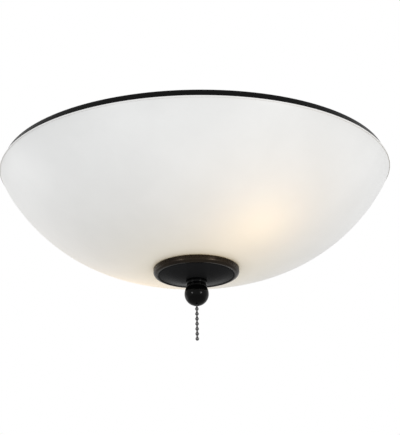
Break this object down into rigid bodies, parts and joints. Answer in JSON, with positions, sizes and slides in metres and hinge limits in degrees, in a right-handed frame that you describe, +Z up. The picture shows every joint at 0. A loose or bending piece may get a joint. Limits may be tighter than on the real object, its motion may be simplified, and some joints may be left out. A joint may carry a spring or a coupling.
{
  "type": "ceiling fan light kit",
  "caption": "Shallow opal glass bowl light under a black fitter pan, held by a ball finial on a hollow stem, with a bead pull chain through it.",
  "frame": {"origin": "centre of the hub's top face, which seats against the underside of the fan", "axes": "+Z up, along the stem, out of the hub towards the fan; the pictured side faces -Y; the lamps lie 54 degrees from +X, towards -Y"},
  "size_m": [0.343, 0.343, 0.1964],
  "materials": {
    "black_paint": "satin black powder coat on steel",
    "black_bronze": "near-black bronze, semi-gloss",
    "opal_glass": "white opal, smooth outside",
    "zinc_steel": "zinc plated",
    "green_zinc": "green plated",
    "brass": "bright",
    "porcelain": "glazed",
    "black_plastic": "moulded",
    "white_plastic": "moulded",
    "bulb_globe": "frosted, lit warm white",
    "rubber": "matt",
    "fibre": "vulcanised fibre",
    "chain_metal": "dark plated",
    "white_wire": "wire insulation",
    "black_wire": "wire insulation",
    "orange_plastic": "moulded"
  },
  "bodies": {
    "fixed_frame": {"fitter_pan": "black_paint", "wire_bushing": "black_plastic", "mounting_screw_1": "zinc_steel", "mounting_screw_2": "zinc_steel", "mounting_screw_3": "zinc_steel", "strap": "zinc_steel", "strap_screw_1": "zinc_steel", "strap_screw_2": "zinc_steel", "strap_nut_1": "zinc_steel", "strap_nut_2": "zinc_steel", "ground_screw": "green_zinc", "threaded_stem": "zinc_steel", "lock_washer": "zinc_steel", "stem_coupling": "brass", "stem_nut": "zinc_steel", "lampholder_1": "porcelain", "lampholder_2": "porcelain", "screw_shell_1": "brass", "screw_shell_2": "brass", "socket_contact_1": "brass", "socket_contact_2": "brass", "lampholder_screw_1": "zinc_steel", "lampholder_screw_2": "zinc_steel", "switch_housing": "black_plastic", "switch_cover": "fibre", "switch_nipple": "brass", "switch_pin": "zinc_steel", "switch_spring": "zinc_steel", "switch_blade_1": "brass", "switch_blade_2": "brass", "neutral_connector": "orange_plastic", "load_connector": "orange_plastic", "line_connector": "orange_plastic", "white_lead_1": "white_wire", "white_lead_2": "white_wire", "black_lead_1": "black_wire", "black_lead_2": "black_wire", "switch_load_lead": "black_wire", "switch_line_lead": "black_wire"},
    "bowl": {"glass_bowl": "opal_glass", "bowl_grommet": "rubber", "bowl_washer": "fibre", "finial_plate": "black_bronze"},
    "finial": {"finial_ball": "black_paint"},
    "chain_top": {"chain_hidden": "chain_metal"},
    "drum": {"switch_drum": "brass"},
    "chain_middle": {"chain_link": "chain_metal"},
    "chain_end": {"chain_tail": "chain_metal"},
    "bulb_1_seat": {"bulb_1_tip": "brass", "bulb_1_insulator": "black_plastic"},
    "bulb_1": {"bulb_1_base": "brass", "bulb_1_housing": "white_plastic", "bulb_1_globe": "bulb_globe"},
    "bulb_2_seat": {"bulb_2_tip": "brass", "bulb_2_insulator": "black_plastic"},
    "bulb_2": {"bulb_2_base": "brass", "bulb_2_housing": "white_plastic", "bulb_2_globe": "bulb_globe"}
  },
  "joints": [
    {"name": "bowl_lower", "type": "slide", "parent": "fixed_frame", "child": "bowl", "axis": [0, 0, -1], "range_m": [0, 0.00376]},
    {"name": "finial_spin", "type": "hinge", "parent": "bowl", "child": "finial", "pos_m": [0, 0, -0.1472], "axis": [0, 0, -1], "range_deg": [0, 1440]},
    {"name": "chain_pull", "type": "slide", "parent": "fixed_frame", "child": "chain_top", "axis": [0, 0, -1], "range_m": [0, 0.01], "stiffness_N_per_m": 800, "springref_m": -0.001},
    {"name": "drum_turn", "type": "hinge", "parent": "fixed_frame", "child": "drum", "pos_m": [0.00485, 0.00353, -0.06578], "axis": [0.5878, -0.809, 0], "range_deg": [0, 96]},
    {"name": "chain_swing_sideways", "type": "hinge", "parent": "chain_middle", "child": "chain_end", "pos_m": [0, 0, -0.16748], "axis": [0, 1, 0], "range_deg": [-45, 45]},
    {"name": "chain_swing_front", "type": "hinge", "parent": "chain_top", "child": "chain_middle", "pos_m": [0, 0, -0.16296], "axis": [1, 0, 0], "range_deg": [-45, 45]},
    {"name": "bulb_1_out", "type": "slide", "parent": "fixed_frame", "child": "bulb_1_seat", "axis": [0.5878, -0.809, 0], "range_m": [0, 0.00725]},
    {"name": "bulb_1_spin", "type": "hinge", "parent": "bulb_1_seat", "child": "bulb_1", "pos_m": [0, 0, -0.0751], "axis": [0.5878, -0.809, 0], "range_deg": [0, 720]},
    {"name": "bulb_2_out", "type": "slide", "parent": "fixed_frame", "child": "bulb_2_seat", "axis": [-0.5878, 0.809, 0], "range_m": [0, 0.00725]},
    {"name": "bulb_2_spin", "type": "hinge", "parent": "bulb_2_seat", "child": "bulb_2", "pos_m": [0, 0, -0.0751], "axis": [-0.5878, 0.809, 0], "range_deg": [0, 720]}
  ],
  "couplings": [
    {"joint": "finial_spin", "follows": "bowl_lower", "rad_per_m": 6679},
    {"joint": "drum_turn", "follows": "chain_pull", "rad_per_m": 166.67},
    {"joint": "bulb_1_spin", "follows": "bulb_1_out", "rad_per_m": 1731.6},
    {"joint": "bulb_2_spin", "follows": "bulb_2_out", "rad_per_m": 1731.6}
  ]
}
